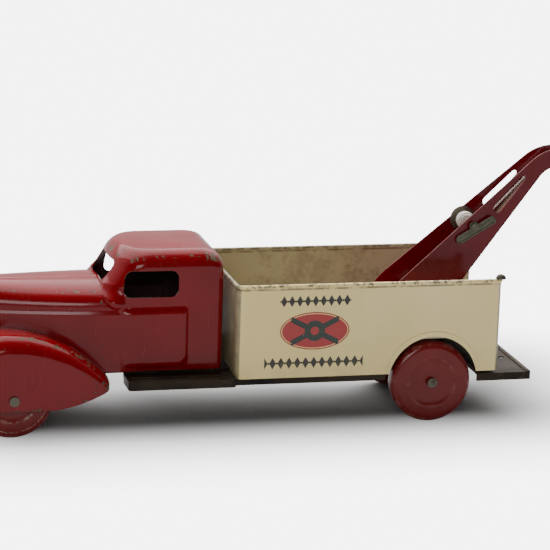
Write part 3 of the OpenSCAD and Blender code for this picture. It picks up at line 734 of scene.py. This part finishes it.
faces.append(tuple((len(rows) - 1) * columns + k for k in range(columns)))
cab = make_mesh("cab_shell", points, [f[::-1] for f in faces])
# The inside of the cab takes the very dark finish: painted shade.
thicken(inner_finish(cab, red_enamel, primer), 1)


def across(u, v, end):
    return (u, -60 + 120 * end, v)


def along(u, v, end):
    return (-104 + 24 * end, u, v)


def raked_window():
    """The side window's outline, with its top front corner leaning back."""
    outline = rounded_outline(-84.3, -54.3, 71.3, 85.5, 4.2)
    return [(u + 0.14 * max(0.0, v - 71.3) * smooth_step(-66, -84, u), v) for u, v in outline]


cut(cab, prism("window_cutter", raked_window(), across))
screen = []
for u, v in rounded_outline(-16.8, 16.8, 76.6, 88.2, 3.6):
    bow, lift = (-1, 0.9) if v < 82 else (-0.4, 0.4)
    screen.append((u * (1.0 + 0.008 * (v - 82)), v + 0.0045 * (u * u) * bow + lift))
cut(cab, prism("screen_cutter", screen, along))
cut(cab, prism("back_cutter", rounded_outline(-17, 17, 74, 86, 4),
               lambda u, v, end: (-40 + 14 * end, u, v)))


def cab_wear(x, y, z):
    roll = np.exp(-((z - 92.3) / 2.4) ** 2) * (np.abs(y) > 12) * (1 + 0.4 * (x > -48))
    front = np.exp(-((z - 91.0) / 3.0) ** 2) * (x < -72)
    belt = np.exp(-((z - 65.2) / 0.8) ** 2) * 0.35
    low = np.exp(-((z - 33) / 1.6) ** 2) * 0.5
    rear = np.exp(-((x + 31) / 1.2) ** 2) * 0.5
    corners = np.exp(-((z - 91.5) / 3.0) ** 2) * ((x < -72) | (x > -40))
    return np.maximum.reduce([0.52 * roll, 0.72 * front, 0.75 * corners, belt, low, rear])


mark(cab, cab_wear)
place_piece(cab, "truck", "red_enamel", "cab_body")
print("cab:", len(cab.data.polygons), "faces")

# %% [markdown]
# The hood is a second pressing that meets the cab at the cowl. Sections across it keep a slight
# crease along the middle, round shoulders, and a belt step that carries on from the door. It
# narrows toward a blunt, rounded nose behind the grille.
# %% Hood
HOOD_TOP, HOOD_BELT, NOSE_FROM, NOSE_LONG = 77.2, 64.2, -152, 22.0


def hood_section(x, count=48):
    """Points across the hood at x, from the left sill over the top to the right sill."""
    half = 30.6 - 0.0019 * (max(NOSE_FROM, x) + 76) ** 2
    close = 1.0
    if x < NOSE_FROM:
        close = max(0.03, (1 - ((NOSE_FROM - x) / NOSE_LONG) ** 3.2)) ** (1 / 3.2)
    top, belt = HOOD_TOP, HOOD_BELT
    points = []
    for z in np.linspace(SILL, belt - 2.0, 22):
        points.append((half + 0.7, z))
    for z in np.linspace(belt - 2.0, belt + 0.8, 8)[1:]:
        points.append((half + 0.7 * float(smooth_step(belt + 0.7, belt - 1.9, z)), z))
    for i in range(1, count + 1):
        a = math.pi / 2 * i / count
        y = half * math.cos(a) ** (2 / 2.55)
        rise = float(smooth_step(-84.5, -93.0, x))
        z = belt + 0.8 + (top - belt - 1.1) * rise * math.sin(a) ** (2 / 2.55)
        points.append((y, z + 0.30 * math.exp(-y / 0.9)))
    out = []
    for y, z in points:
        out.append((x, y * close ** 0.8, 50 + (z - 50) * (close if z > 50 else close ** 0.5)))
    return out + [(px, -py, pz) for px, py, pz in out[-2::-1]]


nose = NOSE_FROM - NOSE_LONG * np.sin(np.linspace(0, math.pi / 2, 22)[1:])
stations = np.concatenate([np.linspace(-77, NOSE_FROM, 76), nose])
rows = [hood_section(float(x)) for x in stations]
columns = len(rows[0])
faces = grid_faces(len(rows), columns)
faces.append(tuple((len(rows) - 1) * columns + k for k in range(columns)))
hood = make_mesh("hood_shell", [p for r in rows for p in r], faces)
thicken(hood, 1)


def hood_wear(x, y, z):
    crease = np.exp(-(y / 1.5) ** 2) * (z > 70) * 0.4
    shoulder = np.exp(-((z - 73.6) / 1.4) ** 2) * 0.66
    belt = np.exp(-((z - 64) / 0.9) ** 2) * 0.35
    cowl = np.exp(-((x + 95) / 2.0) ** 2) * 0.6
    top = 0.12 * (z > 74)
    return np.maximum.reduce([crease, shoulder, belt, cowl, top])


mark(hood, hood_wear)
place_piece(hood, "truck", "red_enamel")
print("hood:", len(hood.data.polygons), "faces")

# %% [markdown]
# Each front fender is a deep pressing: a round crest over the wheel, a long tail sloping back to
# the running board, a soft shoulder, and a flat skirt that hides the top of the wheel. The outline
# is the envelope of a chain of circles, drawn in smoothly toward the skirt.
# %% Front fenders
def circle_envelope(circles, steps=260):
    """Outline of a tight band round circles (x, z, r), by the angle of its normal."""
    out = []
    for i in range(steps + 1):
        a = math.radians(190 - 246 * i / steps)
        n = (math.cos(a), math.sin(a))
        x, z, r = max(circles, key=lambda c: c[0] * n[0] + c[1] * n[1] + c[2])
        out.append((x + r * n[0], z + r * n[1]))
    return out


def even(points, count):
    """The same line with its points spaced evenly."""
    p = np.array(points)
    s = np.concatenate([[0], np.cumsum(np.linalg.norm(np.diff(p, axis=0), axis=1))])
    t = np.linspace(0, s[-1], count)
    return np.stack([np.interp(t, s, p[:, 0]), np.interp(t, s, p[:, 1])], 1)


CREST = [(-145.5, 20, 22.5), (-146, 33, 22.5), (-138, 33.4, 21.6), (-130, 33.0, 20.0), (-121, 31.8, 17.6),
         (-112, 30.5, 13.6), (-104, 29.0, 9.4), (-97.8, 27.8, 6.0)]
SKIRT = [(-145.5, 20, 20), (-146, 26.5, 20), (-138, 27, 19), (-130, 26.9, 17.4), (-121, 26.6, 14.6),
         (-112, 26.2, 11.0), (-104, 25.6, 7.0), (-99.5, 25.4, 4.4)]
FENDER_LOW = 16.5


def fender_edge(x):
    """Height of the skirt's lower edge: level over the wheel, rising along the tail."""
    return FENDER_LOW + 9.0 * np.clip((np.asarray(x, float) + 123) / 29, 0, 1) ** 1.7


def fender(side):
    count = 150
    rim = even(circle_envelope(CREST), count)
    flat = even(circle_envelope(SKIRT), count)
    rows = [[(x, side * y, max(z, float(fender_edge(x)))) for x, z in rim] for y in (22, 27, 32, 36.5)]
    for i in range(1, 15):
        a = math.pi / 2 * i / 14
        f = 1 - math.cos(a)
        y = 36.5 + 10.2 * math.sin(a)
        rows.append([(x, side * y, max(z, float(fender_edge(x))))
                     for x, z in rim + (flat - rim) * f])
    for i in range(1, 9):
        y = side * (46.7 + 0.3 * math.sin(math.pi * i / 18))
        rows.append([(x, y, z + (float(fender_edge(x)) - z) * i / 8)
                     for x, z in ((px, max(pz, float(fender_edge(px)))) for px, pz in flat)])
    faces = grid_faces(len(rows), count)
    piece = make_mesh("fender_shell_" + ("left" if side < 0 else "right"),
                      [p for r in rows for p in r], faces if side > 0 else [f[::-1] for f in faces])
    piece.modifiers.new("weld", "WELD").merge_threshold = 1e-6
    thicken(piece, -1)
    mark(piece, lambda x, y, z: np.maximum.reduce([
        0.82 * np.exp(-((np.abs(y) - 41) / 2.8) ** 2) * (z > 36),
        0.75 * np.exp(-((z - FENDER_LOW) / 0.9) ** 2),
        0.5 * (z > 48), 0.6 * (x > -108)]))
    return place_piece(piece, "truck", "red_enamel",
                       "front_fender_" + ("left" if side < 0 else "right"))


for side in (-1, 1):
    fender(side)
print("fenders made")

# %% [markdown]
# The bed's side is drawn out a little round each wheel arch. The raised lip stiffens the cut edge.
# It follows the arch a few millimetres outside it and runs out at the sill.
# %% Wheel arch lips
ARCH_X, ARCH_Z, LIP_R, BED_SIDE = 83.4, 23.85, 27.30, 43.85
lips = []
for side in (-1, 1):
    turn = np.radians(np.linspace(13, 167, 60))
    route = [(ARCH_X + LIP_R * math.cos(a), side * BED_SIDE, ARCH_Z + LIP_R * math.sin(a)) for a in turn]
    lips.append(sweep("lip", route, 0.54 * np.sin(np.linspace(0.12, math.pi - 0.12, 60)) ** 0.3, 12))
place_piece(joined("arch_lips", lips), "truck", "cream_enamel")
print("arch lips made")

# %% [markdown]
# The wheels are turned wood, painted: a rounded tread, a flat outer band with one faint step inside
# it, and a shallow dish down to the axle. One profile is spun for all four, mirrored for the right.
# %% Wheels
def wheel(name, x, side, out=40.8, width=10.8, radius=22.25):
    profile = [(1.65, -width / 2 + 0.6)]
    profile += [(r, width / 2 - deep) for r, deep in (
        (1.65, 0.9), (2.6, 0.95), (5.5, 0.85), (9.5, 0.62), (12.0, 0.42), (12.7, 0.22), (13.4, 0.04),
        (14.6, 0), (16.4, 0), (17.4, 0))]
    for i in range(13):
        a = math.pi / 2 * i / 12
        profile.append((18.2 + 4.05 * math.sin(a), width / 2 - 3.2 + 3.2 * math.cos(a)))
    for i in range(13):
        a = math.pi / 2 * i / 12
        profile.append((18.2 + 4.05 * math.cos(a), -width / 2 + 3.2 - 3.2 * math.sin(a)))
    profile += [(8.0, -width / 2 + 0.1), (4.0, -width / 2 + 0.2)]
    count = 96
    middle = side * (out - width / 2)
    points = [(x + r * math.cos(2 * math.pi * k / count), middle + side * t,
               radius + r * math.sin(2 * math.pi * k / count)) for k in range(count) for r, t in profile]
    n = len(profile)
    faces = []
    for k in range(count):
        for i in range(n):
            quad = (k * n + i, k * n + (i + 1) % n, ((k + 1) % count) * n + (i + 1) % n,
                    ((k + 1) % count) * n + i)
            faces.append(quad[::-1] if side < 0 else quad)
    piece = make_mesh("painted_" + name, points, faces, 50)

    def worn(px, py, pz):
        r = np.hypot(px - x, pz - radius)
        face = np.abs(py) > out - 1.2
        # The pale rings at radius 13.2 and 18.9, strong on the front wheels and faint on the rear, are
        # painted highlights; the band on the tread is wear.
        ring = 1.0 if x < 0 else 0.3
        return np.maximum.reduce([ring * np.exp(-((r - 13.2) / 0.8) ** 2) * face,
                                  1.4 * (x < 0) * np.exp(-((r - 18.9) / 0.35) ** 2) * face,
                                  0.4 * (r > 20.6)])

    mark(piece, worn)
    return place_piece(piece, name, "wheel_paint", name)


for name, x in (("front", -143.0), ("rear", 84.0)):
    wheel(f"wheel_{name}_left", x, -1)
    wheel(f"wheel_{name}_right", x, 1)
print("four wheels")

# %% [markdown]
# The string is two cotton plies twisted together. It is wound in rough layers on the winch, runs up
# inside the boom over the guide pin, and hangs from the tip pin with the hook on its end. The
# hanging part is drawn straight, at its real length.
# %% String
def twisted(name, route, diameter=1.2, pitch=3.4, sides=8):
    """Two plies twisted round a route in millimetres."""
    route = np.array(route, float)
    s = np.concatenate([[0], np.cumsum(np.linalg.norm(np.diff(route, axis=0), axis=1))])
    t = np.linspace(0, s[-1], max(8, int(s[-1] / 0.28)))
    line = np.stack([np.interp(t, s, route[:, i]) for i in range(3)], 1)
    way = np.gradient(line, axis=0)
    way /= np.linalg.norm(way, axis=1)[:, None]
    side = np.cross(way[0], (0.3, 1, 0.1))
    plies = []
    sides_at = []
    for w in way:
        side = side - w * side.dot(w)
        side /= np.linalg.norm(side)
        sides_at.append((side.copy(), np.cross(w, side)))
    for start in (0.0, math.pi):
        ply = []
        for p, (a, b), d in zip(line, sides_at, t):
            turn = start + 2 * math.pi * d / pitch
            ply.append(p + diameter * 0.235 * (math.cos(turn) * a + math.sin(turn) * b))
        plies.append(sweep(name, ply, diameter * 0.265, sides))
    return joined(name, plies)


WINCH, GUIDE, TIP = (113.0, 101.5), (159.5, 138.2), (172.4, 135.6)


def arc(centre, radius, a1, a2, steps):
    turn = [math.radians(a1 + (a2 - a1) * i / steps) for i in range(steps + 1)]
    return [(centre[0] + radius * math.cos(a), 0.0, centre[1] + radius * math.sin(a)) for a in turn]


run = (GUIDE[0] - WINCH[0], GUIDE[1] - WINCH[1])
drop = math.asin((5.2 + 1.2 + 1.2) / math.hypot(*run))
guide_angle = 90 + math.degrees(math.atan2(run[1], run[0]) + drop)
over = (TIP[0] - GUIDE[0], TIP[1] - GUIDE[1])
over_angle = 90 + math.degrees(math.atan2(over[1], over[0]) + math.asin(0.4 / math.hypot(*over)))
route = (arc(WINCH, 5.8, guide_angle - 190, guide_angle - 180, 2)
         + arc(GUIDE, 1.8, guide_angle, over_angle, 6) + arc(TIP, 2.2, over_angle, 0, 14))
boom_string = twisted("boom_string_twisted", route)
place_piece(boom_string, "truck", "string", "boom_string")

HANG_X, HANG_Z, HOOK_Z = 174.6, 135.6, 84.0
fall = [(HANG_X, 0.0, HANG_Z - (HANG_Z - HOOK_Z) * i / 40) for i in range(41)]
tow_string = twisted("tow_string_twisted", fall)
place_piece(tow_string, "truck", "string", "tow_string")


def windings():
    """Layers of turns on the winch axle, crossing a little at random."""
    rng = np.random.default_rng(5)
    route = []
    for layer, radius in enumerate((1.9, 2.85, 3.75, 4.45)):
        half = (4.3, 4.1, 3.5, 2.7)[layer]
        turns = int(2 * half / 1.05)
        for i in range(turns * 22):
            f = i / (turns * 22)
            y = -half + 2 * half * f
            if layer % 2:
                y = -y
            a = 2 * math.pi * (i / 22)
            wave = 0.28 * math.sin(3.1 * a / 7 + layer) + rng.normal(0, 0.015)
            crown = radius * math.sqrt(max(0.2, 1 - (y / 8.5) ** 2))
            route.append((WINCH[0] + crown * math.cos(a), 2.9 + y + wave, WINCH[1] + crown * math.sin(a)))
    return sweep("string_turns", route, 0.54, 8)


place_piece(windings(), "winch", "string", "string_winding")
print("string:", round(HANG_Z - HOOK_Z, 1), "mm hangs free")

# %% [markdown]
# The winding key is a pressed oblong with a rolled rim, which stands off the left boom plate. Its
# axle comes through a small boss on the upper edge, and the end is peened over.
# %% Winding key
KEY_ANGLE, KEY_DROP, KEY_LENGTH, KEY_WIDTH = math.radians(30.5), 2.4, 25.0, 4.8
key_y = -(14 - math.tan(math.radians(3.9)) * ((WINCH[0] - 71.8) * math.cos(math.radians(43))
                                            + (WINCH[1] - 72.3) * math.sin(math.radians(43))) + 2.0)


def on_key(u, v, y):
    """A place on the key, u along it and v across it."""
    return (WINCH[0] + u * math.cos(KEY_ANGLE) - v * math.sin(KEY_ANGLE), y,
            WINCH[1] + u * math.sin(KEY_ANGLE) + v * math.cos(KEY_ANGLE))


outline = rounded_outline(-KEY_LENGTH / 2 + 0.3, KEY_LENGTH / 2 - 0.3, -KEY_DROP - KEY_WIDTH / 2 + 0.3,
                          -KEY_DROP + KEY_WIDTH / 2 - 0.3, 2.05)
plate = prism("key_plate", outline, lambda u, v, end: on_key(u, v, key_y + 0.5 - 0.7 * end))
bead_line = rounded_outline(-KEY_LENGTH / 2 + 0.6, KEY_LENGTH / 2 - 0.6, -KEY_DROP - KEY_WIDTH / 2 + 0.6,
                            -KEY_DROP + KEY_WIDTH / 2 - 0.6, 1.7)
bead = sweep("key_bead", [on_key(u, v, key_y - 0.1) for u, v in bead_line + bead_line[:2]], 0.6, 12)
ring = [(2.5 * math.cos(t), 2.5 * math.sin(t)) for t in np.linspace(0, 2 * math.pi, 33)[:-1]]
boss = prism("key_boss", ring, lambda u, v, end: on_key(u, v, key_y + 0.55 - 1.1 * end))
ribs = []
for a, b in ((-9.0, -3.4), (3.4, 9.4)):
    line = [on_key(u, -KEY_DROP + 0.35 * math.sin(u), key_y - 0.15) for u in np.linspace(a, b, 12)]
    ribs.append(sweep("key_rib", line, 0.42, 8))
key = joined("pressed_key", [plate, bead, boss] + ribs)
round_edges(key, 0.18)
freeze(key)
place_piece(key, "winch", "bare_steel", "winch_key", finish=key_steel)
print("key made")

# %% [markdown]
# The hook is one length of steel wire: a closed eye for the string, a straight shank, and a round
# bend that ends in a slightly tapered point.
# %% Hook
wire, BEND_R = 0.9, 4.2
eye_z = HOOK_Z - 2.9
bend_z = HOOK_Z - 18
path = [(HANG_X + 2.0 * math.sin(a), 0.25 * (a / math.pi - 1), eye_z - 2.0 * math.cos(a))
        for a in np.linspace(0.1, 2 * math.pi - 0.02, 36)][::-1]
path += [(HANG_X, 0.0, z) for z in np.linspace(eye_z - 2.4, bend_z, 16)]
path += [(HANG_X - BEND_R + BEND_R * math.cos(a), 0.0, bend_z - BEND_R * math.sin(a))
         for a in np.linspace(0.05, math.pi, 30)]
path += [(HANG_X - 2 * BEND_R - 0.35 * f, 0.0, bend_z + 3.4 * f) for f in np.linspace(0.1, 1, 8)]
n = len(path)
radii = [wire * (1 - 0.55 * float(smooth_step(n - 9, n - 1, i))) for i in range(n)]
hook = sweep("wire_hook", path, radii, 14)
place_piece(hook, "hook", "bare_steel", "tow_hook")
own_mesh(tow_string)
print("hook made")

# %% [markdown]
# The rest of the truck keeps its CAD shapes: cut, bent and riveted parts whose form is already
# exact. Each gets small rounded edges, as sheet has after stamping and painting, and its finish.
# %% CAD pieces
finishes = {"boom_web": raw_steel}
for part in frame["record"]["subparts"]:
    node = frame["nodes"][part["node"]]
    node.data.materials.clear()
    node.data.materials.append(finishes.get(part["node"], SLOTS[part["material_slot"]]))
    if not node.hide_render:
        round_edges(node, 0.22)
print("CAD pieces finished")

# %% [markdown]
# %% End
print("build finished")
